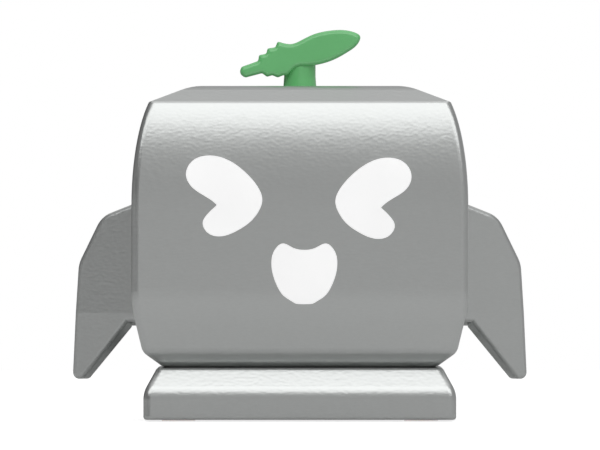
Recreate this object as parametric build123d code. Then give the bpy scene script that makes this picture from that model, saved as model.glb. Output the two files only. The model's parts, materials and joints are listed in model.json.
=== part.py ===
from build123d import *
import math
import os

# Desk robot kit: a barrel-sided cube torso that turns on a flat foot, two fin arms and a leaf sprout.
# Millimetres. Origin at the middle of the underside of the rubber feet, +Z up, face towards -Y.

# ---- driving dimensions ----
HALF = 49.8                 # half width of the torso at its belly
WALL = 2.4                  # torso and foot wall
TORSO_BOTTOM = 16.35
TORSO_TOP = 99.45
BROW_Z = 94.6               # edge between the front and the sloped top facet
BROW_R = 1.0
CREST_HALF = 32.0           # half width of the flat top
CREST_R = 18.0
CORNER_R = 2.2
CHIN_Z, CHIN_R = 20.6, 4.0  # bend between the belly and the chamfer below it
FEET_H = 0.6                # rubber feet stand proud of the foot by this much
BASE_TOP = 15.9
BASE_HALF = 46.3            # half width of the square foot
BASE_CORNER_R = 2.2
PAD_HALF = 40.2             # half width of the square swivel pad under the torso
SPLIT_Y = 38.0              # the rear cover starts here
SEAM = 0.3                  # shadow gap between the front shell and the rear cover
SHOULDER_Z = 48.0
SOCKET_R = 20.4             # round shoulder socket in each side of the torso
SOCKET_X = 48.4             # floor of that socket
ARM_GAP = 0.1               # arm root to socket floor
ARM_X = 50.25               # where the plane of each arm crosses the side of the torso
ARM_SWEEP = 17.0            # each arm is swept back by this angle
ARM_THICK = 10.0
ARM_TIP_THICK = 7.8
ARM_BORE_X = 57.5           # blind end of the shaft hole in each arm
ARM_GRUB_X = 54.0
SHAFT_R = 2.4               # servo output shafts
RUNNING = 0.05              # radial running clearance
STEM_R = 4.7
LEAF_THICK = 5.0
BUTTON_R = 4.0
BUTTON_X, BUTTON_Z = -26.0, 79.0
BUTTON_TRAVEL = 1.2
BUTTON_SKIRT_Y = 44.3       # inner end of the button
USB_Z = 75.5
DECK_Z = 28.8               # underside of the chassis deck
DECK_T = 2.5
BOARD_Z = 72.0              # underside of the controller board
SCREW_R = 1.5
SCREW_HEAD_R = 2.75
BUSH_R = 4.0
COLLAR_R = 6.5
SPEAKER_Z = 45.0
BOSS_END = 46.0             # seat of the rear cover screws
SHOULDER_DOME_X = 44.4      # outer end of each shoulder servo
WAIST_DOME_Z = 18.0         # lower end of the waist servo
HORN_R, HORN_Z = 11.0, 13.5
PLATE_TOP = 2.8             # inner side of the plate that closes the foot
CELL_R, CELL_L, CELL_Y = 9.1, 65.0, -24.0
CELL_Z = (42.6, 61.1)
BOARD = (-34.0, 34.0, -22.0, 44.0)          # controller board: x from, x to, y from, y to
LIGHT_BOX = (-37.0, 36.0, 33.5, 82.0)       # lamp board: x from, x to, z from, z to
LED_Y = -36.0
LEAF_Y = -3.2

# ---- 9 g servo, case bottom at 0, output axis at the origin, shaft towards +Z ----
CASE_L, CASE_W, CASE_H = 22.8, 12.2, 22.7
CASE_SHIFT = CASE_L / 2 - 5.9
EAR_L, EAR_T, EAR_Z = 32.2, 2.5, 15.9
EAR_HOLE = 13.9
DOME_R, DOME_TOP = 5.9, 26.7
SHAFT_IN = 4.5              # depth of the output shaft inside the servo
UPRIGHT_X = SHOULDER_DOME_X - DOME_TOP + EAR_Z      # plane where the shoulder servo ears sit
UPRIGHT_T = 2.5

# ---- screw and pad places ----
REAR_SCREWS = [(x, z) for x in (-40.0, 40.0) for z in (31.0, 82.0)]
DECK_SCREWS = [(x, y) for x in (-26.0, 26.0) for y in (-8.0, 28.0)]
BOARD_SCREWS = [(x, y) for x in (-28.0, 28.0) for y in (-9.0, 9.0)]
PLATE_SCREWS = [(x, y) for x in (-34.0, 34.0) for y in (-34.0, 34.0)]
FOOT_PADS = [(x, y) for x in (-36.0, 36.0) for y in (-20.0, 20.0)]
HORN_SCREWS = [(x, y) for x in (-5.66, 5.66) for y in (-5.66, 5.66)]
LED_SPOTS = [(-28, 73), (-20, 70), (-17, 63), (-24, 59.5), (27, 73), (19, 70), (17, 63), (23, 59),
             (-3, 46), (5.5, 46), (1.3, 39.5)]

# ---- face outlines, (x, z) seen from the front ----
RIGHT_EYE = [
    (-24.5, 64.1), (-29.0, 67.3), (-32.4, 70.0), (-33.65, 73.1), (-31.8, 77.1), (-26.4, 78.75),
    (-20.6, 77.1), (-15.8, 73.5), (-12.2, 69.1), (-11.1, 65.8), (-12.0, 62.6), (-14.2, 59.6),
    (-18.4, 56.6), (-23.6, 54.85), (-27.2, 55.9), (-28.7, 58.9), (-27.6, 61.1), (-24.5, 64.1),
]
LEFT_EYE = [
    (24.0, 63.3), (28.1, 66.4), (31.7, 69.1), (33.0, 72.5), (31.4, 76.2), (25.6, 78.1),
    (19.6, 76.2), (14.95, 72.6), (12.0, 69.1), (10.5, 65.2), (11.4, 62.0), (13.2, 59.3),
    (17.6, 55.95), (22.9, 54.1), (26.1, 54.85), (28.05, 58.2), (27.1, 60.2), (24.0, 63.3),
]
MOUTH_X = 1.33
MOUTH_HALF = [(0.0, 50.85), (3.4, 51.5), (6.4, 52.75), (8.9, 50.6), (9.75, 46.9), (9.25, 43.4),
              (7.95, 40.0), (6.0, 37.2), (3.3, 35.4), (0.0, 34.8)]
LEAF_BLADE = [(-2.6, 112.1), (0.4, 113.2), (4.0, 114.95), (8.0, 115.95), (12.0, 116.3),
              (15.6, 115.8), (18.0, 114.3), (17.3, 112.2), (14.6, 109.9), (10.4, 107.55),
              (5.6, 106.0), (0.2, 105.6)]
LEAF_LOWER = [(-1.4, 105.1), (-3.6, 102.9), (-4.9, 102.8), (-6.6, 102.1), (-8.2, 102.8),
              (-9.8, 102.3), (-11.2, 103.4), (-16.2, 102.1)]
LEAF_UPPER = [(-17.3, 105.3), (-12.4, 107.05), (-12.15, 108.8), (-10.0, 109.2), (-9.6, 110.8),
              (-7.3, 111.1), (-6.6, 112.9)]


def front_prism(face, y_from, y_to):
    """A face drawn in (x, z), given depth from y_from (front) to y_to (back)."""
    return extrude(Plane.XZ.offset(-y_to) * face, amount=y_to - y_from)


def side_prism(face, x_from, x_to):
    """A face drawn in (y, z), given width from x_from to x_to."""
    return extrude(Plane.YZ.offset(x_from) * face, amount=x_to - x_from)


def block(x0, x1, y0, y1, z0, z1):
    return Pos((x0 + x1) / 2, (y0 + y1) / 2, (z0 + z1) / 2) * Box(x1 - x0, y1 - y0, z1 - z0)


def rod(radius, x, y, z0, z1):
    """A cylinder along Z."""
    return Pos(x, y, (z0 + z1) / 2) * Cylinder(radius, z1 - z0)


def rod_x(radius, x0, x1, y, z):
    return Pos((x0 + x1) / 2, y, z) * Rot(0, 90, 0) * Cylinder(radius, x1 - x0)


def rod_y(radius, x, z, y0, y1):
    return Pos(x, (y0 + y1) / 2, z) * Rot(90, 0, 0) * Cylinder(radius, y1 - y0)


def span(side, near, far):
    """X from near to far off the middle on that side, in rising order."""
    return sorted((side * near, side * far))


def save(shape, name):
    shapes = list(shape) if isinstance(shape, (list, tuple)) else [shape]
    solids = [solid for item in shapes for solid in item.solids()]
    export_step(Compound(children=solids) if len(solids) > 1 else solids[0], f"parts/{name}.step")


# ---- torso casing ----
def inset_corner(before, corner, after, inset):
    """The corner of a counter-clockwise path, moved inwards from both of its sides."""
    along = (Vector(*corner) - Vector(*before)).normalized()
    onward = (Vector(*after) - Vector(*corner)).normalized()
    first, second = Vector(-along.Y, along.X), Vector(-onward.Y, onward.X)
    moved = Vector(*corner) + (first + second) * (inset / (1 + first.dot(second)))
    return (moved.X, moved.Y)


def torso_outline(inset=0.0):
    """Torso from the front: foot chamfer, leaning belly, upright cheek, long oval shoulder, hip facet."""
    lean = math.radians(14.5)
    belly_r, cheek_z0, cheek_z1 = 40.0, 39.0, 64.0
    middle = HALF - belly_r
    oval_x, oval_z = 10.9, 36.0
    floor, foot, chin = (0, TORSO_BOTTOM), (40.7, TORSO_BOTTOM), (46.5, CHIN_Z)
    tangent = (middle + belly_r * math.cos(lean), cheek_z0 - belly_r * math.sin(lean))
    belly = (middle + (belly_r - inset) * math.cos(lean), cheek_z0 - (belly_r - inset) * math.sin(lean))
    brow_z = BROW_Z - 0.9 * inset
    turn = math.degrees(math.asin((brow_z - cheek_z1) / (oval_z - inset)))
    brow = (HALF - oval_x + (oval_x - inset) * math.cos(math.radians(turn)), brow_z)
    crest = (CREST_HALF - 0.17 * inset, TORSO_TOP - inset)
    half = Curve() + [
        Polyline((0, TORSO_BOTTOM + inset), inset_corner(floor, foot, chin, inset),
                 inset_corner(foot, chin, tangent, inset), belly),
        CenterArc((middle, cheek_z0), belly_r - inset, -14.5, 14.5),
        Line((HALF - inset, cheek_z0), (HALF - inset, cheek_z1)),
        EllipticalCenterArc((HALF - oval_x, cheek_z1), oval_x - inset, oval_z - inset,
                            start_angle=0, arc_size=turn),
        Polyline(brow, crest, (0, TORSO_TOP - inset)),
    ]
    return make_face(half + mirror(half, about=Plane.YZ))


def torso_block(inset=0.0):
    face = torso_outline(inset)
    if not inset:
        face = fillet([v for v in face.vertices() if abs(v.Y - CHIN_Z) < 0.01], CHIN_R)
        face = fillet([v for v in face.vertices() if abs(abs(v.X) - CREST_HALF) < 0.01], CREST_R)
    return front_prism(face, -60, 60) & side_prism(face, -60, 60)


def on_corner(edge):
    middle = edge.center()
    return abs(abs(middle.X) - abs(middle.Y)) < 0.001


def torso_outer():
    body = torso_block()
    body = fillet([e for e in body.edges() if on_corner(e) and e.center().Z < BROW_Z], CORNER_R)
    return fillet([e for e in body.edges() if abs(e.center().Z - BROW_Z) < 0.1], BROW_R)


OUTER = torso_outer()
INNER = torso_block(WALL)
SHELF = torso_block(WALL + 1.0)


def eye_face(points):
    """Heart-like eye: one smooth curve that starts and ends at the notch."""
    return make_face(Spline(*points))


def mouth_face():
    """Grin with a dip in its upper edge, the same on both sides of its own middle."""
    half = Curve() + [Spline(*MOUTH_HALF, tangents=((1, 0), (-1, 0)))]
    return Pos(MOUTH_X, 0) * make_face(half + mirror(half, about=Plane.YZ))


FACE_OUTLINES = {"right_eye_window": eye_face(RIGHT_EYE), "left_eye_window": eye_face(LEFT_EYE),
                 "mouth_window": mouth_face()}


def flange_face(face, grow):
    """Rounded rectangle around a face outline, larger than it by grow on each side."""
    box = face.bounding_box()
    frame = RectangleRounded(box.size.X + 2 * grow, box.size.Y + 2 * grow, 5.0)
    return Pos(box.center().X, box.center().Y) * frame


def window(face):
    """A flush lens through the front wall with a 1 mm flange behind it."""
    plug = front_prism(face, -60, -30) & (OUTER - INNER)
    flange = front_prism(flange_face(face, 1.5), -60, -30) & (INNER - SHELF)
    return plug + flange


def torso_shell():
    """Outer wall with the shoulder sockets backed by round pads, before it is split."""
    shell = OUTER - INNER
    for side in (-1, 1):
        shell += rod_x(SOCKET_R + 1.2, *span(side, SOCKET_X - WALL, HALF), 0, SHOULDER_Z) & OUTER
        shell -= rod_x(SOCKET_R, *span(side, SOCKET_X, HALF + 5), 0, SHOULDER_Z)
        shell -= rod_x(BUSH_R, *span(side, 40, HALF + 5), 0, SHOULDER_Z)
    return shell


def front_shell(shell):
    front = shell & block(-60, 60, -60, SPLIT_Y, 0, 110)
    for face in FACE_OUTLINES.values():
        front -= front_prism(face, -60, -30)
    for x, z in REAR_SCREWS:
        side = math.copysign(1, x)
        front += block(*span(side, abs(x) - 5, abs(x) + 12), SPLIT_Y - 10, SPLIT_Y, z - 5, z + 5) & INNER
        front -= rod_y(SCREW_R, x, z, SPLIT_Y - 9, SPLIT_Y + 1)
    front -= rod(DOME_R + 0.6, 0, 0, 10, 20)
    front -= rod(COLLAR_R, 0, 0, 90, 110)
    for x, y in DECK_SCREWS:
        front -= rod(SCREW_R, x, y, 10, 25)
        front -= rod(SCREW_HEAD_R + 0.15, x, y, 10, TORSO_BOTTOM + 1.4)
    return front


def rear_cover(shell):
    rear = shell & block(-60, 60, SPLIT_Y + SEAM, 60, 0, 110)
    for x, z in REAR_SCREWS:
        rear += rod_y(4.0, x, z, SPLIT_Y, 49) & OUTER
        rear -= rod_y(3.0, x, z, BOSS_END - 0.4, 60)
        rear -= rod_y(SCREW_R, x, z, 30, 60)
    rear += rod_y(20.6, 0, SPEAKER_Z, 44.0, 49) & OUTER
    rear -= rod_y(18.85, 0, SPEAKER_Z, 40, 47.0)
    for ring, count in ((0, 1), (4, 6), (8, 12), (12, 18)):
        for i in range(count):
            angle = 2 * math.pi * i / count
            rear -= rod_y(0.9, ring * math.cos(angle), SPEAKER_Z + ring * math.sin(angle), 40, 60)
    rear -= rod_y(BUTTON_R + RUNNING, BUTTON_X, BUTTON_Z, 40, 60)
    return rear - front_prism(Pos(0, USB_Z) * RectangleRounded(9.6, 3.8, 1.8), 37, 57)


def screw(head_r, head_h, shank_r, length):
    """Socket screw standing on its tip: shank up from 0, head on top."""
    head = Pos(0, 0, length + head_h / 2) * Cylinder(head_r, head_h)
    body = Pos(0, 0, length / 2) * Cylinder(shank_r, length) + head
    hexagon = extrude(RegularPolygon(head_r * 0.5, 6), amount=head_h * 0.6)
    return body - Pos(0, 0, length + head_h * 0.4) * hexagon


# ---- swivel pad ----
def swivel_pad():
    """Thin square pad under the torso that slides on the top of the foot."""
    pad = extrude(RectangleRounded(2 * PAD_HALF, 2 * PAD_HALF, 3.0), amount=TORSO_BOTTOM - BASE_TOP - 0.05)
    pad = Pos(0, 0, BASE_TOP + 0.05) * pad - rod(HORN_R + 1.0, 0, 0, 10, 20)
    for x, y in DECK_SCREWS:
        pad -= rod(SCREW_HEAD_R + 0.15, x, y, 10, 20)
    return pad


# ---- servos ----
def servo():
    case = Pos(CASE_SHIFT, 0, CASE_H / 2) * Box(CASE_L, CASE_W, CASE_H)
    ears = Pos(CASE_SHIFT, 0, EAR_Z + EAR_T / 2) * Box(EAR_L, CASE_W, EAR_T)
    dome = Pos(0, 0, (CASE_H + DOME_TOP) / 2) * Cylinder(DOME_R, DOME_TOP - CASE_H)
    body = fillet(case.edges().filter_by(Axis.Z), 0.8) + ears + dome
    for side in (-1, 1):
        body -= Pos(CASE_SHIFT + side * EAR_HOLE, 0, EAR_Z) * Cylinder(1.0, 3 * EAR_T)
    return body - Pos(0, 0, DOME_TOP) * Cylinder(SHAFT_R + RUNNING, 2 * SHAFT_IN)


def shoulder_place(side):
    """Servo shaft points outwards along X, its case runs upwards from the axis."""
    plane = Plane(origin=(side * (SHOULDER_DOME_X - DOME_TOP), 0, SHOULDER_Z),
                  x_dir=(0, 0, 1), z_dir=(side, 0, 0))
    return plane.location


WAIST_PLACE = Plane(origin=(0, 0, WAIST_DOME_Z + DOME_TOP), x_dir=(0, 1, 0), z_dir=(0, 0, -1)).location


def servo_screws():
    """Two screws through the ears of each servo; the heads lie on the shaft side."""
    screws = []
    for place in (WAIST_PLACE, shoulder_place(1), shoulder_place(-1)):
        for side in (-1, 1):
            small = Pos(CASE_SHIFT + side * EAR_HOLE, 0, EAR_Z - 3.0) * screw(1.8, 1.2, 1.0, EAR_T + 3.0)
            screws.append(place * small)
    return screws


def chassis():
    """Deck on four posts, with an upright for each shoulder servo that also carries the board."""
    frame = block(-UPRIGHT_X, UPRIGHT_X, -32, 32, DECK_Z, DECK_Z + DECK_T)
    for x, y in DECK_SCREWS:
        frame += rod(3.2, x, y, TORSO_BOTTOM + WALL, DECK_Z)
    for side in (-1, 1):
        frame += block(*span(side, UPRIGHT_X - UPRIGHT_T, UPRIGHT_X), -12, 12, DECK_Z, BOARD_Z)
        frame += block(*span(side, UPRIGHT_X - 8, UPRIGHT_X), -12, 12, BOARD_Z - 2, BOARD_Z)
    for place in (WAIST_PLACE, shoulder_place(1), shoulder_place(-1)):
        frame -= place * (Pos(CASE_SHIFT, 0, 10) * Box(CASE_L + 0.4, CASE_W + 0.4, 26))
        for side in (-1, 1):
            frame -= place * (Pos(CASE_SHIFT + side * EAR_HOLE, 0, EAR_Z) * Cylinder(1.0, 8))
    for x, y in DECK_SCREWS:
        frame -= rod(SCREW_R, x, y, 10, 27)
    for x, y in BOARD_SCREWS:
        frame -= rod(1.0, x, y, BOARD_Z - 6, BOARD_Z + 1)
    return frame


def shoulder_bush(side):
    """Flanged bush in the floor of the shoulder socket, where the shaft turns."""
    sleeve = rod_x(BUSH_R, *span(side, SOCKET_X - WALL, SOCKET_X), 0, SHOULDER_Z)
    flange = rod_x(BUSH_R + 2.0, *span(side, SOCKET_X - WALL - 1.2, SOCKET_X - WALL), 0, SHOULDER_Z)
    return sleeve + flange - rod_x(SHAFT_R + RUNNING, *span(side, 40, 55), 0, SHOULDER_Z)


# ---- arms ----
def arm_outline():
    """Fin outline in its own plane: u outwards from the root, z up, with a flared root at both ends."""
    corners = [(-4.0, 65.3), (8.0, 60.75), (15.15, 46.7), (17.4, 12.35), (13.95, 12.35), (-0.3, 29.3),
               (-4.0, 29.3)]
    radii = {1: 8.0, 2: 9.0, 3: 1.9, 4: 1.6}
    face = make_face(Polyline(*corners, close=True))
    for index, radius in radii.items():
        x, z = corners[index]
        face = fillet([v for v in face.vertices() if abs(v.X - x) + abs(v.Y - z) < 0.01], radius)
    return face


def arm(side):
    """A swept fin, thinner towards its tip, whose root fills the shoulder socket."""
    sweep = math.radians(ARM_SWEEP)
    plane = Plane(origin=(ARM_X, 0, 0), x_dir=(math.cos(sweep), math.sin(sweep), 0),
                  z_dir=(math.sin(sweep), -math.cos(sweep), 0))
    half, tip = ARM_THICK / 2, ARM_TIP_THICK / 2
    slab = extrude(plane * arm_outline(), amount=half, both=True)
    taper = make_face(Polyline((-half, 75), (-half, 32), (-tip, 12), (-tip, 5), (tip, 5), (tip, 12),
                               (half, 32), (half, 75), close=True))
    side_plane = Plane(origin=(ARM_X, 0, 0), x_dir=-plane.z_dir, z_dir=plane.x_dir)
    wedge = extrude(side_plane * taper, amount=40, both=True)
    fin = slab & wedge
    rims = [e for e in fin.edges() if abs(plane.to_local_coords(e.center()).Z) > tip - 0.2
            and plane.to_local_coords(e.center()).X > -3.5]
    fin = fillet(rims, 1.4)
    root_x = SOCKET_X + ARM_GAP
    fin &= block(root_x, 80, -40, 40, 0, 90)
    fin -= block(40, HALF + 0.3, -40, 40, 0, 90) - rod_x(SOCKET_R - 0.3, 40, 60, 0, SHOULDER_Z)
    fin += side_prism(Pos(0, 47.4) * RectangleRounded(11.0, 38.4, 5.0), root_x, HALF + 0.15)
    fin -= rod_x(SHAFT_R, 40, ARM_BORE_X, 0, SHOULDER_Z)
    fin -= rod_y(1.0, ARM_GRUB_X, SHOULDER_Z, 0, 15)
    return fin if side > 0 else mirror(fin, about=Plane.YZ)


def arm_shaft(side):
    return rod_x(SHAFT_R, *span(side, SHOULDER_DOME_X - SHAFT_IN, ARM_BORE_X), 0, SHOULDER_Z)


def arm_grub(side):
    return rod_y(1.0, side * ARM_GRUB_X, SHOULDER_Z, SHAFT_R, 5.2)


# ---- foot ----
def base_outline():
    """Side of the foot: upright, then bent inwards by an arc to a flat slope."""
    half = BASE_HALF
    bend_r, bend_z, slope = 8.0, 6.6, math.radians(29)
    bend_end = (half - bend_r * (1 - math.cos(slope)), bend_z + bend_r * math.sin(slope))
    rim = (bend_end[0] - (BASE_TOP - bend_end[1]) * math.tan(slope), BASE_TOP)
    side = Curve() + [
        Polyline((0, FEET_H), (half, FEET_H), (half, bend_z)),
        CenterArc((half - bend_r, bend_z), bend_r, 0, math.degrees(slope)),
        Polyline(bend_end, rim, (0, BASE_TOP)),
    ]
    return make_face(side + mirror(side, about=Plane.YZ))


def base_block():
    body = front_prism(base_outline(), -60, 60) & side_prism(base_outline(), -60, 60)
    body = fillet([e for e in body.edges() if on_corner(e)], BASE_CORNER_R)
    body = fillet([e for e in body.edges() if abs(e.center().Z - BASE_TOP) < 0.01], 1.2)
    return fillet([e for e in body.edges() if abs(e.center().Z - FEET_H) < 0.01], 0.9)


def base_shell():
    """Cast foot, hollow from below, with a round pocket on top for the waist horn."""
    body = base_block()
    body -= extrude(RectangleRounded(82, 82, 3.0), amount=12.0)
    body -= plate_blank(0)
    body += rod(14, 0, 0, 9.0, 12.5)
    body -= rod(HORN_R + 0.1, 0, 0, HORN_Z, 20)
    body -= rod(4.0, 0, 0, 5, 20)
    for x, y in PLATE_SCREWS:
        body += rod(4, x, y, PLATE_TOP, 13)
        body -= rod(SCREW_R, x, y, 0, 9)
    for x, y in HORN_SCREWS:
        body -= rod(1.0, x, y, 8, 20)
    return body


def plate_blank(bottom):
    """Plate that closes the foot from below, up from that height, without its holes."""
    width = 2 * (BASE_HALF - 1.6)
    return Pos(0, 0, bottom) * extrude(RectangleRounded(width, width, 2.5), amount=PLATE_TOP - bottom)


def base_plate():
    plate = plate_blank(FEET_H)
    for px, py in PLATE_SCREWS:
        plate -= rod(SCREW_R, px, py, 0, 5)
        plate -= rod(SCREW_HEAD_R + 0.15, px, py, 0, FEET_H + 1.3)
    for px, py in FOOT_PADS:
        plate -= rod(5.0, px, py, 0, FEET_H + 0.6)
    return plate


def waist_horn():
    horn = rod(HORN_R, 0, 0, HORN_Z, BASE_TOP) + rod(3.9, 0, 0, 10.5, HORN_Z)
    horn -= rod(SHAFT_R, 0, 0, 12.0, 20)
    horn -= rod(1.0, 0, 0, 5, 20)
    for x, y in HORN_SCREWS:
        horn -= rod(1.0, x, y, 10, 20)
        horn -= rod(1.8, x, y, BASE_TOP - 1.2, 20)
    return horn


# ---- sprout ----
def leaf_face():
    outline = Curve() + [
        Spline(LEAF_UPPER[-1], (-4.6, 112.3), *LEAF_BLADE),
        Polyline(LEAF_BLADE[-1], *LEAF_LOWER),
        Spline(LEAF_LOWER[-1], (-17.75, 103.5), LEAF_UPPER[0]),
        Polyline(*LEAF_UPPER),
    ]
    face = make_face(outline)
    return fillet([v for v in face.vertices() if -15 < v.X < -1], 0.45)


def sprout_leaf():
    slab = front_prism(leaf_face(), LEAF_Y - LEAF_THICK / 2, LEAF_Y + LEAF_THICK / 2)
    rims = [e for e in slab.edges() if abs(abs(e.center().Y - LEAF_Y) - LEAF_THICK / 2) < 0.01]
    return fillet(rims, 0.4)


def sprout_stem(leaf):
    """Thick round stem, a little wider at its foot; the neck turns in the collar, held by a clip."""
    seat = TORSO_TOP + 0.05
    profile = make_face(Polyline((0, 92.0), (3.0, 92.0), (3.0, seat), (STEM_R + 0.2, seat),
                                 (STEM_R, TORSO_TOP + 3), (STEM_R, 106.8), (0, 106.8), close=True))
    stem = revolve(Plane.XZ * profile, Axis.Z)
    groove = rod(5, 0, 0, 93.2, 94.0) - rod(2.4, 0, 0, 93, 95)
    return stem - groove - leaf


def sprout_collar():
    """Flanged bush that lines the hole in the top wall."""
    wall_in = TORSO_TOP - WALL
    collar = rod(COLLAR_R, 0, 0, wall_in, TORSO_TOP) + rod(COLLAR_R + 2.0, 0, 0, wall_in - 1.5, wall_in)
    return collar - rod(3.0 + RUNNING, 0, 0, 90, 110)


def sprout_clip():
    ring = rod(4.6, 0, 0, 93.25, 93.95) - rod(2.4, 0, 0, 93, 95)
    return ring - block(-1.6, 1.6, 0, 6, 93, 95)


# ---- electronics ----
def light_frame():
    """Baffle behind the face: a tunnel for each window keeps its light apart."""
    x0, x1, z0, z1 = LIGHT_BOX
    frame = block(x0, x1, -60, LED_Y, z0, z1) & SHELF
    for face in FACE_OUTLINES.values():
        frame -= front_prism(flange_face(face, 0.6), -60, -20)
    return frame


def led_board():
    x0, x1, z0, z1 = LIGHT_BOX
    return block(x0, x1, LED_Y, LED_Y + 1.6, z0, z1)


def leds():
    return [block(x - 2.5, x + 2.5, LED_Y - 1.4, LED_Y, z - 2.5, z + 2.5) for x, z in LED_SPOTS]


def cells():
    """Two cylindrical cells lying across the robot, each with its raised button end."""
    result = []
    for z in CELL_Z:
        result.append(rod_x(CELL_R, -CELL_L / 2, CELL_L / 2, CELL_Y, z)
                      + rod_x(3.0, CELL_L / 2, CELL_L / 2 + 1.0, CELL_Y, z))
    return result


def battery_holder():
    z0, z1 = CELL_Z[0] - 10.5, CELL_Z[1] + 10.5
    tray = block(-36, 36, CELL_Y - 8.5, CELL_Y + 10.5, z0, z1)
    tray -= block(-33.6, 33.6, CELL_Y - 30, CELL_Y, z0 + 1.2, z1 - 1.2)
    for z in CELL_Z:
        tray -= rod_x(CELL_R + 0.1, -33.6, 33.6, CELL_Y, z)
    for x in (-36, 32):
        tray += block(x, x + 4, CELL_Y - 8.5, CELL_Y + 10.5, DECK_Z + DECK_T, z0)
    return tray


def controller_board():
    x0, x1, y0, y1 = BOARD
    board = block(x0, x1, y0, y1, BOARD_Z, BOARD_Z + 1.6)
    for x, y in BOARD_SCREWS:
        board -= rod(1.0, x, y, BOARD_Z - 1, BOARD_Z + 3)
    return board


def chips():
    top = BOARD_Z + 1.6
    return [block(-9, 9, -6, 12, top, top + 3.2), block(-24, -17, 16, 24, top, top + 1.5),
            block(14, 22, 14, 22, top, top + 1.5), block(12, 17, -14, -9, top, top + 1.5)]


def headers():
    top = BOARD_Z + 1.6
    return [block(x, x + 7.6, -20, -17.5, top, top + 8.5) for x in (-26, -13, 0, 13)]


def usb_socket():
    shell = front_prism(Pos(0, USB_Z) * RectangleRounded(9.0, 3.2, 1.5), 39.4, 46.6)
    mouth = front_prism(Pos(0, USB_Z) * RectangleRounded(8.4, 2.6, 1.2), 42.0, 50.0)
    tongue = block(-3.3, 3.3, 41.0, 46.0, USB_Z - 0.35, USB_Z + 0.35)
    feet = block(-4.2, 4.2, 39.5, 43.5, BOARD_Z + 1.6, USB_Z - 1.5)
    return shell - mouth + tongue + feet


def speaker():
    """Round speaker: steel basket against the grille and a magnet behind it."""
    basket = rod_y(18.8, 0, SPEAKER_Z, 43.2, 47.0) - rod_y(16.5, 0, SPEAKER_Z, 44.6, 47.0)
    magnet = rod_y(9.5, 0, SPEAKER_Z, 37.5, 43.2)
    return basket + magnet


def speaker_cone():
    section = [(0, 44.9), (6, 44.9), (16.4, 46.4), (16.4, 46.8), (6, 45.4), (0, 45.4)]
    return Pos(0, 0, SPEAKER_Z) * revolve(make_face(Polyline(*section, close=True)), Axis.Y)


def power_button():
    """Round cap that slides in the rear cover, with a skirt inside so that it can't fall out."""
    cap = rod_y(BUTTON_R, BUTTON_X, BUTTON_Z, BUTTON_SKIRT_Y, HALF)
    cap = fillet(cap.edges().sort_by(Axis.Y)[-1], 0.8)
    return cap + rod_y(BUTTON_R + 1.0, BUTTON_X, BUTTON_Z, BUTTON_SKIRT_Y, BUTTON_SKIRT_Y + 1.1)


def power_switch():
    """Switch that stands on the controller board, its plunger just short of the pressed button."""
    body = block(BUTTON_X - 4, BUTTON_X + 4, 37.5, 42.0, BOARD_Z + 1.6, BUTTON_Z + 3.0)
    return body + rod_y(1.8, BUTTON_X, BUTTON_Z, 42.0, BUTTON_SKIRT_Y - BUTTON_TRAVEL - 0.1)


# ---- screws ----
def screws_at(places, head_h, length, head_r=SCREW_HEAD_R, shank_r=SCREW_R):
    """The same screw at each place; a place takes it from its own origin at the tip."""
    return [place * screw(head_r, head_h, shank_r, length) for place in places]


DOWN = Rot(180, 0, 0)
REAR_PLACES = [Pos(x, BOSS_END - 13.4, z) * Rot(-90, 0, 0) for x, z in REAR_SCREWS]
DECK_PLACES = [Pos(x, y, TORSO_BOTTOM + 9.4) * DOWN for x, y in DECK_SCREWS]
PLATE_PLACES = [Pos(x, y, FEET_H + 7.3) * DOWN for x, y in PLATE_SCREWS]
HORN_PLACES = [Pos(x, y, BASE_TOP - 5.7) for x, y in HORN_SCREWS]
BOARD_PLACES = [Pos(x, y, BOARD_Z - 4.4) for x, y in BOARD_SCREWS]


# ---- build ----
os.makedirs("parts", exist_ok=True)
SHELL = torso_shell()
LEAF = sprout_leaf()
PARTS = {
    "front_shell": front_shell(SHELL),
    "rear_cover": rear_cover(SHELL),
    "rear_cover_screws": screws_at(REAR_PLACES, 2.0, 13.0),
    "face_light_frame": light_frame(),
    "face_led_board": led_board(),
    "face_leds": leds(),
    "chassis_frame": chassis(),
    "chassis_screws": screws_at(DECK_PLACES, 1.3, 8.0),
    "swivel_pad": swivel_pad(),
    "waist_servo": WAIST_PLACE * servo(),
    "servo_screws": servo_screws(),
    "battery_holder": battery_holder(),
    "battery_cells": cells(),
    "controller_board": controller_board(),
    "controller_board_screws": screws_at(BOARD_PLACES, 1.2, 6.0, 1.8, 1.0),
    "controller_chips": chips(),
    "servo_headers": headers(),
    "usb_socket": usb_socket(),
    "speaker_basket": speaker(),
    "speaker_cone": speaker_cone(),
    "power_switch": power_switch(),
    "power_button": power_button(),
    "sprout_leaf": LEAF,
    "sprout_stem": sprout_stem(LEAF),
    "sprout_collar": sprout_collar(),
    "sprout_clip": sprout_clip(),
    "base_shell": base_shell(),
    "base_plate": base_plate(),
    "base_plate_screws": screws_at(PLATE_PLACES, 1.2, 6.0),
    "rubber_feet": [rod(5.0, x, y, 0, FEET_H + 0.6) for x, y in FOOT_PADS],
    "waist_horn": waist_horn(),
    "waist_horn_screws": screws_at(HORN_PLACES, 1.1, 4.5, 1.8, 1.0),
    "waist_shaft": rod(SHAFT_R, 0, 0, 12.0, WAIST_DOME_Z + SHAFT_IN),
}
for name, face in FACE_OUTLINES.items():
    PARTS[name] = window(face)
for side, label in ((1, "left"), (-1, "right")):
    PARTS[f"{label}_shoulder_servo"] = shoulder_place(side) * servo()
    PARTS[f"{label}_shoulder_bush"] = shoulder_bush(side)
    PARTS[f"{label}_arm"] = arm(side)
    PARTS[f"{label}_arm_shaft"] = arm_shaft(side)
    PARTS[f"{label}_arm_grub_screw"] = arm_grub(side)
for name, shape in PARTS.items():
    save(shape, name)
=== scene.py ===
"""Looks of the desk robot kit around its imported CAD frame: brushed shells, opal windows, moulded leaf."""
import json
import math

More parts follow.
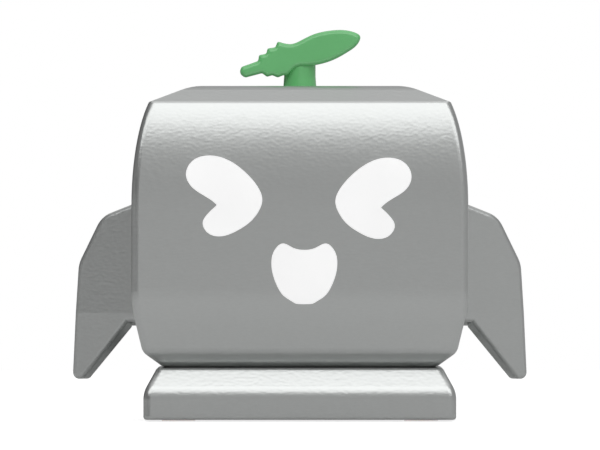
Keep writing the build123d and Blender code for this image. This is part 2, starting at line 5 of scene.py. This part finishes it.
import bmesh
import bpy
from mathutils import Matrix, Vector
from mathutils.kdtree import KDTree


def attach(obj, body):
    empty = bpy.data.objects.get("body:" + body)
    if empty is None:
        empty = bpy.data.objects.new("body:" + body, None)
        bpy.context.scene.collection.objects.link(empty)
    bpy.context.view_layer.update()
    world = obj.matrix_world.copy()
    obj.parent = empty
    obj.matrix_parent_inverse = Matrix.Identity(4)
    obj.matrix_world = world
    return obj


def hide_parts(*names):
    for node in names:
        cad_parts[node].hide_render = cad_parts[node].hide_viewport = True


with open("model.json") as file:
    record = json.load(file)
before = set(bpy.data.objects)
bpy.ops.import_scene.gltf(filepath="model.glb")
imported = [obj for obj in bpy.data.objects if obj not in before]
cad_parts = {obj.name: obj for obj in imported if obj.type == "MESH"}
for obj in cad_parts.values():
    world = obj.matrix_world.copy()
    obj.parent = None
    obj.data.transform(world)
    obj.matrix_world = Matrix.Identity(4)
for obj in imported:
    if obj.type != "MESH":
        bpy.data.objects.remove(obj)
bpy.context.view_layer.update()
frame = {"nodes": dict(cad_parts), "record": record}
NODES = frame["nodes"]
MM = 0.001

# ---- view: a very long lens, level with the middle of the object ----
LENS = 1200.0                       # mm, close to a parallel view
SENSOR = 36.0                       # mm
CLIP_END = 200.0
CAMERA_DISTANCE = 5.96
CAMERA_X = 0.05 * MM
CAMERA_Z = 58.2 * MM

# ---- leaf ----
LEAF_VOXEL = 0.22 * MM              # face size
LEAF_RIM = 1.35 * MM                # radius of the rounded rim
LEAF_EDGE = 0.75 * MM               # points further than this from the front and the back are on the outline
LEAF_SMOOTHING = 3                  # passes

# ---- grain of the metals: noise cells per metre across and along the streaks ----
SCRATCHES = (2400.0, 650.0)
WAVES = (1250.0, 760.0)
UPRIGHT_UNTIL, LEVEL_FROM = 0.68, 0.86      # steepness where the streaks start and end their turn

# ---- light: grey levels along a ramp, as (position, level) pairs ----
BY_HEIGHT = [(0.0, 0.32), (0.5, 0.50), (0.62, 0.485), (0.80, 0.40), (0.86, 0.44), (0.93, 0.77),
             (1.0, 1.12)]                               # from straight below to straight above
BY_SIDE = [(0.0, 0.52), (0.1, 0.30), (0.2, 0.16), (0.375, 0.42), (0.5, 0.97), (1.0, 0.76)]   # from -X to +X
SIDE_FULL_BELOW, SIDE_WEAK_ABOVE, SIDE_WEAK = 0.64, 0.92, 0.35      # heights, and the share that is left
WINDOW_GLOW = 0.33
FLOOR_SIZE = 4.0
FLOOR_LIFT = 0.75
MIX_A, MIX_B, MIX_RESULT = 6, 7, 2          # colour sockets of a Mix node


# ---------------------------------------------------------------- node helpers
def new_material(name):
    """A node material, its tree and its shader."""
    material = bpy.data.materials.new(name)
    material.use_nodes = True
    tree = material.node_tree
    shader = tree.nodes["Principled BSDF"]
    return material, tree, shader


def add(tree, kind, **settings):
    """A node of that kind; settings name its properties, and inputs maps its sockets to their values."""
    node = tree.nodes.new(kind)
    for name, value in settings.items():
        if name == "inputs":
            for socket, amount in value.items():
                node.inputs[socket].default_value = amount
        else:
            setattr(node, name, value)
    return node


def mapped(tree, scale):
    """Object coordinates stretched by a scale in each axis."""
    place = add(tree, "ShaderNodeTexCoord")
    mapping = add(tree, "ShaderNodeMapping", inputs={"Scale": scale})
    tree.links.new(place.outputs["Object"], mapping.inputs["Vector"])
    return mapping.outputs["Vector"]


def noise(tree, scale, detail=3.0, roughness=0.55):
    """Noise whose cells per metre are given for each axis."""
    node = add(tree, "ShaderNodeTexNoise", inputs={"Scale": 1.0, "Detail": detail, "Roughness": roughness})
    tree.links.new(mapped(tree, scale), node.inputs["Vector"])
    return node.outputs["Fac"]


def remap(tree, value, low, high, from_low=0.3, from_high=0.7):
    """Value stretched so that from_low gives low and from_high gives high, and held there beyond them."""
    node = add(tree, "ShaderNodeMapRange", inputs={"From Min": from_low, "From Max": from_high,
                                                   "To Min": low, "To Max": high})
    tree.links.new(value, node.inputs["Value"])
    return node.outputs["Result"]


def tint(tree, value, dark, light):
    """Colour between dark and light, chosen by a noise value."""
    ramp = add(tree, "ShaderNodeValToRGB")
    ramp.color_ramp.elements[0].position = 0.3
    ramp.color_ramp.elements[1].position = 0.7
    ramp.color_ramp.elements[0].color = (*dark, 1.0)
    ramp.color_ramp.elements[1].color = (*light, 1.0)
    tree.links.new(value, ramp.inputs["Fac"])
    return ramp.outputs["Color"]


def bump(tree, shader, value, distance):
    node = add(tree, "ShaderNodeBump", inputs={"Strength": 1.0, "Distance": distance})
    tree.links.new(value, node.inputs["Height"])
    tree.links.new(node.outputs["Normal"], shader.inputs["Normal"])


# ---------------------------------------------------------------- materials
def grain(tree, across, along, detail=2.0):
    """Short level streaks on upright faces and short cross streaks on level ones."""
    upright = noise(tree, (along, along, across), detail=detail)
    level = noise(tree, (along, across, along), detail=detail)
    place = add(tree, "ShaderNodeTexCoord")
    split = add(tree, "ShaderNodeSeparateXYZ")
    tree.links.new(place.outputs["Normal"], split.inputs["Vector"])
    steep = add(tree, "ShaderNodeMath", operation="ABSOLUTE")
    tree.links.new(split.outputs["Z"], steep.inputs[0])
    mask = remap(tree, steep.outputs["Value"], 0.0, 1.0, UPRIGHT_UNTIL, LEVEL_FROM)
    blend = add(tree, "ShaderNodeMix")
    tree.links.new(mask, blend.inputs["Factor"])
    tree.links.new(upright, blend.inputs["A"])
    tree.links.new(level, blend.inputs["B"])
    return blend.outputs["Result"]


def brushed_metal(name, dark, light, rough_low, rough_high, depth):
    """Metal with fine scratches in its colour and gloss, over a faint waviness that breaks up highlights."""
    material, tree, shader = new_material(name)
    shader.inputs["Metallic"].default_value = 1.0
    scratches = grain(tree, *SCRATCHES)
    waves = grain(tree, *WAVES, detail=0.0)
    tree.links.new(tint(tree, scratches, dark, light), shader.inputs["Base Color"])
    tree.links.new(remap(tree, scratches, rough_low, rough_high), shader.inputs["Roughness"])
    bump(tree, shader, waves, depth)
    return material


def opal_window():
    """White diffusing lens, lit a little from inside."""
    material, tree, shader = new_material("opal_window")
    cloud = noise(tree, (60.0, 60.0, 60.0), detail=2.0)
    tree.links.new(tint(tree, cloud, (0.90, 0.90, 0.90), (0.95, 0.95, 0.95)), shader.inputs["Base Color"])
    tree.links.new(remap(tree, cloud, 0.20, 0.30), shader.inputs["Roughness"])
    shader.inputs["Emission Color"].default_value = (1.0, 1.0, 1.0, 1.0)
    shader.inputs["Emission Strength"].default_value = WINDOW_GLOW
    return material


def moulded(name, dark, light, rough_low, rough_high, scale=900.0, depth=0.00002, subsurface=0.0, painted_glow=0.0,
            gloss=0.5):
    """Moulded plastic or rubber: slow colour drift under a fine spark-eroded texture, and an optional painted
    glow, emission that paints light onto the surface.
    """
    material, tree, shader = new_material(name)
    slow = noise(tree, (90.0, 90.0, 90.0), detail=2.0)
    fine = noise(tree, (scale, scale, scale), detail=3.0, roughness=0.6)
    tree.links.new(tint(tree, slow, dark, light), shader.inputs["Base Color"])
    tree.links.new(remap(tree, fine, rough_low, rough_high), shader.inputs["Roughness"])
    shader.inputs["Specular IOR Level"].default_value = gloss
    shader.inputs["Subsurface Weight"].default_value = subsurface
    shader.inputs["Subsurface Scale"].default_value = 2.0 * MM
    shader.inputs["Emission Color"].default_value = (1.0, 1.0, 1.0, 1.0)
    shader.inputs["Emission Strength"].default_value = painted_glow
    bump(tree, shader, fine, depth)
    return material


def circuit_board(name, mask, copper):
    """Solder mask over faint tracks, under a thin clear coat."""
    material, tree, shader = new_material(name)
    tracks = add(tree, "ShaderNodeTexBrick", inputs={"Scale": 1.0, "Mortar Size": 0.10, "Brick Width": 2.2,
                                                     "Row Height": 0.8, "Color1": (*mask, 1.0),
                                                     "Color2": (*mask, 1.0), "Mortar": (*copper, 1.0)})
    tree.links.new(mapped(tree, (900.0, 900.0, 900.0)), tracks.inputs["Vector"])
    tree.links.new(tracks.outputs["Color"], shader.inputs["Base Color"])
    tree.links.new(remap(tree, noise(tree, (400.0, 400.0, 400.0)), 0.25, 0.4), shader.inputs["Roughness"])
    shader.inputs["Coat Weight"].default_value = 0.3
    return material


SHELL = brushed_metal("shell_brushed", (0.595, 0.61, 0.602), (0.615, 0.63, 0.622), 0.28, 0.30, 0.000028)
ARM = brushed_metal("arm_satin", (0.582, 0.597, 0.589), (0.602, 0.617, 0.609), 0.35, 0.37, 0.00003)
STEEL = brushed_metal("screw_steel", (0.45, 0.45, 0.46), (0.60, 0.60, 0.61), 0.25, 0.40, 0.00001)
BRASS = brushed_metal("bush_brass", (0.60, 0.42, 0.16), (0.75, 0.56, 0.26), 0.25, 0.38, 0.00001)
OPAL = opal_window()
LEAF = moulded("leaf_green", (0.165, 0.62, 0.21), (0.18, 0.66, 0.23), 0.16, 0.22, 600.0, 0.000004, gloss=1.0)
# the silicone feet carry a painted glow: emission that stands in for light from the white floor around them
RUBBER_PAINTED_GLOW = moulded("foot_silicone_painted_glow", (0.84, 0.84, 0.84), (0.88, 0.88, 0.88), 0.4, 0.55, 1500.0,
                 subsurface=0.4, painted_glow=0.45)
PAD = moulded("pad_plastic", (0.10, 0.10, 0.10), (0.13, 0.13, 0.13), 0.5, 0.65, 1300.0)
BLACK = moulded("black_plastic", (0.022, 0.022, 0.024), (0.034, 0.034, 0.037), 0.42, 0.58, 1300.0)
WHITE = moulded("white_plastic", (0.72, 0.72, 0.70), (0.80, 0.80, 0.78), 0.38, 0.5)
FRAME = moulded("frame_plastic", (0.55, 0.55, 0.55), (0.62, 0.62, 0.62), 0.42, 0.55)
SERVO = moulded("servo_case", (0.02, 0.09, 0.40), (0.03, 0.12, 0.48), 0.18, 0.28)
CELL = moulded("cell_wrap", (0.02, 0.22, 0.26), (0.03, 0.27, 0.31), 0.2, 0.3)
LAMP = moulded("lamp_phosphor", (0.80, 0.74, 0.40), (0.90, 0.84, 0.52), 0.3, 0.4)
BOARD = circuit_board("board_green", (0.012, 0.11, 0.05), (0.03, 0.19, 0.08))

BY_SLOT = {
    "shell_metal": SHELL, "arm_metal": ARM, "button_metal": ARM, "screw_steel": STEEL,
    "speaker_steel": STEEL, "socket_steel": STEEL, "bush_brass": BRASS, "window_white": OPAL,
    "sprout_green": LEAF, "foot_rubber": RUBBER_PAINTED_GLOW, "black_plastic": BLACK, "chip_black": BLACK,
    "cone_black": BLACK, "collar_white": WHITE, "pad_grey": PAD, "horn_white": WHITE,
    "frame_plastic": FRAME, "servo_blue": SERVO, "cell_wrap": CELL, "led_white": LAMP,
    "board_green": BOARD,
}


def dress_nodes():
    """Each CAD node takes the material of its slot in the record."""
    for row in frame["record"]["subparts"]:
        piece = NODES[row["node"]]
        piece.data.materials.clear()
        piece.data.materials.append(BY_SLOT[row["material_slot"]])


# ---------------------------------------------------------------- sprout
def fine_copy(node):
    """Mesh of a CAD node in even small faces, in the row frame."""
    mesh = NODES[node].data.copy()
    mesh.transform(NODES[node].matrix_world)
    piece = bpy.data.objects.new(node + "_fine", mesh)
    bpy.context.scene.collection.objects.link(piece)
    solid = piece.modifiers.new("even_faces", "REMESH")
    solid.mode = "VOXEL"
    solid.voxel_size = LEAF_VOXEL
    graph = bpy.context.evaluated_depsgraph_get()
    piece.data = bpy.data.meshes.new_from_object(piece.evaluated_get(graph))
    piece.modifiers.clear()
    return piece


def round_rim(mesh, radius):
    """Thin a flat moulding towards its outline, so that its rim is a rounded bead and the outline stays.

    The points of the wall mark the outline. Nearer to it than the radius, each point is held inside a
    quarter circle."""
    ys = [vertex.co.y for vertex in mesh.vertices]
    middle, half = (min(ys) + max(ys)) / 2, (max(ys) - min(ys)) / 2
    wall = [v.co.copy() for v in mesh.vertices if abs(v.co.y - middle) < half - LEAF_EDGE]
    tree = KDTree(len(wall))
    for index, place in enumerate(wall):
        tree.insert(Vector((place.x, 0.0, place.z)), index)
    tree.balance()
    for vertex in mesh.vertices:
        inset = tree.find(Vector((vertex.co.x, 0.0, vertex.co.z)))[2]
        short = max(radius - inset, 0.0)
        limit = half - radius + math.sqrt(max(radius * radius - short * short, 0.0))
        away = vertex.co.y - middle
        vertex.co.y = middle + max(-limit, min(limit, away))


def moulded_leaf():
    """The leaf of the sprout with a fully rounded rim."""
    leaf = fine_copy("sprout_leaf")
    leaf.name = "leaf_moulded"
    round_rim(leaf.data, LEAF_RIM)
    shape = bmesh.new()
    shape.from_mesh(leaf.data)
    for _ in range(LEAF_SMOOTHING):
        bmesh.ops.smooth_vert(shape, verts=shape.verts, factor=0.5, use_axis_x=True, use_axis_y=True,
                              use_axis_z=True)
    shape.to_mesh(leaf.data)
    shape.free()
    for face in leaf.data.polygons:
        face.use_smooth = True
    leaf.data.materials.clear()
    leaf.data.materials.append(LEAF)
    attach(leaf, "sprout")
    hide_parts("sprout_leaf")


# ---------------------------------------------------------------- stage
def make_camera():
    """Level camera straight in front of the face."""
    data = bpy.data.cameras.new("camera")
    data.lens = LENS
    data.sensor_width = SENSOR
    data.clip_end = CLIP_END
    camera = bpy.data.objects.new("camera", data)
    camera.location = (CAMERA_X, -CAMERA_DISTANCE, CAMERA_Z)
    camera.rotation_euler = (math.radians(90), 0, 0)
    bpy.context.scene.collection.objects.link(camera)
    bpy.context.scene.camera = camera


def make_floor():
    """Pale matt floor, lifted to white where the camera sees it."""
    bpy.ops.mesh.primitive_grid_add(x_subdivisions=8, y_subdivisions=8, size=FLOOR_SIZE)
    floor = bpy.context.object
    floor.name = "studio_floor"
    material, tree, shader = new_material("studio_floor")
    shader.inputs["Roughness"].default_value = 0.9
    shader.inputs["Specular IOR Level"].default_value = 0.0
    cloud = noise(tree, (3.0, 3.0, 3.0), detail=2.0)
    tree.links.new(tint(tree, cloud, (0.69, 0.69, 0.69), (0.71, 0.71, 0.71)), shader.inputs["Base Color"])
    path = add(tree, "ShaderNodeLightPath")
    lift = add(tree, "ShaderNodeMath", operation="MULTIPLY", inputs={1: FLOOR_LIFT})
    tree.links.new(path.outputs["Is Camera Ray"], lift.inputs[0])
    shader.inputs["Emission Color"].default_value = (1.0, 1.0, 1.0, 1.0)
    tree.links.new(lift.outputs["Value"], shader.inputs["Emission Strength"])
    floor.data.materials.append(material)


def set_ramp(node, stops):
    """Give a new ramp node these (position, level) pairs."""
    ramp = node.color_ramp
    while len(ramp.elements) < len(stops):
        ramp.elements.new(0.5)
    for element, (position, level) in zip(ramp.elements, stops):
        element.position = position
        element.color = (level, level, level, 1.0)


def make_world():
    """Soft studio: white where the camera sees it, and grey light that changes with height and side."""
    world = bpy.data.worlds.new("studio")
    bpy.context.scene.world = world
    world.use_nodes = True
    tree = world.node_tree
    tree.nodes.clear()
    output = add(tree, "ShaderNodeOutputWorld")
    place = add(tree, "ShaderNodeTexCoord")
    split = add(tree, "ShaderNodeSeparateXYZ")
    tree.links.new(place.outputs["Generated"], split.inputs["Vector"])
    height = add(tree, "ShaderNodeValToRGB")
    set_ramp(height, BY_HEIGHT)
    centred = add(tree, "ShaderNodeMapRange", inputs={"From Min": -1.0, "From Max": 1.0})
    tree.links.new(split.outputs["Z"], centred.inputs["Value"])
    tree.links.new(centred.outputs["Result"], height.inputs["Fac"])
    side = add(tree, "ShaderNodeValToRGB")
    set_ramp(side, BY_SIDE)
    across = add(tree, "ShaderNodeMapRange", inputs={"From Min": -1.0, "From Max": 1.0})
    tree.links.new(split.outputs["X"], across.inputs["Value"])
    tree.links.new(across.outputs["Result"], side.inputs["Fac"])
    level = add(tree, "ShaderNodeMix", data_type="RGBA", blend_type="MULTIPLY")
    fade = remap(tree, centred.outputs["Result"], 1.0, SIDE_WEAK, SIDE_FULL_BELOW, SIDE_WEAK_ABOVE)
    tree.links.new(fade, level.inputs[0])
    tree.links.new(height.outputs["Color"], level.inputs[MIX_A])
    tree.links.new(side.outputs["Color"], level.inputs[MIX_B])
    lit = add(tree, "ShaderNodeBackground", inputs={"Strength": 1.0})
    tree.links.new(level.outputs[MIX_RESULT], lit.inputs["Color"])
    backdrop = add(tree, "ShaderNodeBackground", inputs={"Strength": 1.0, "Color": (1.0, 1.0, 1.0, 1.0)})
    path = add(tree, "ShaderNodeLightPath")
    choose = add(tree, "ShaderNodeMixShader")
    tree.links.new(path.outputs["Is Camera Ray"], choose.inputs["Fac"])
    tree.links.new(lit.outputs["Background"], choose.inputs[1])
    tree.links.new(backdrop.outputs["Background"], choose.inputs[2])
    tree.links.new(choose.outputs["Shader"], output.inputs["Surface"])


def make_softbox(name, azimuth, elevation, distance, width, height, power):
    """A soft area light that faces the robot; azimuth 0 is in front of the face, 90 at +X; power in watts."""
    data = bpy.data.lights.new(name, "AREA")
    data.shape = "RECTANGLE"
    data.size = width
    data.size_y = height
    data.energy = power
    light = bpy.data.objects.new(name, data)
    turn, lift = math.radians(azimuth), math.radians(elevation)
    aim = Vector((math.sin(turn) * math.cos(lift), -math.cos(turn) * math.cos(lift), math.sin(lift)))
    centre = Vector((0, 0, CAMERA_Z))
    light.location = centre + aim * distance
    light.rotation_euler = aim.to_track_quat("Z", "Y").to_euler()
    bpy.context.scene.collection.objects.link(light)


dress_nodes()
moulded_leaf()
make_camera()
make_floor()
make_world()
make_softbox("front_overhead", 0, 42, 1.2, 2.4, 0.68, 6.3)
make_softbox("rear_overhead", 180, 55, 1.4, 2.0, 0.6, 1.2)

scene = bpy.context.scene
scene.view_settings.view_transform = "Standard"
scene.view_settings.look = "None"
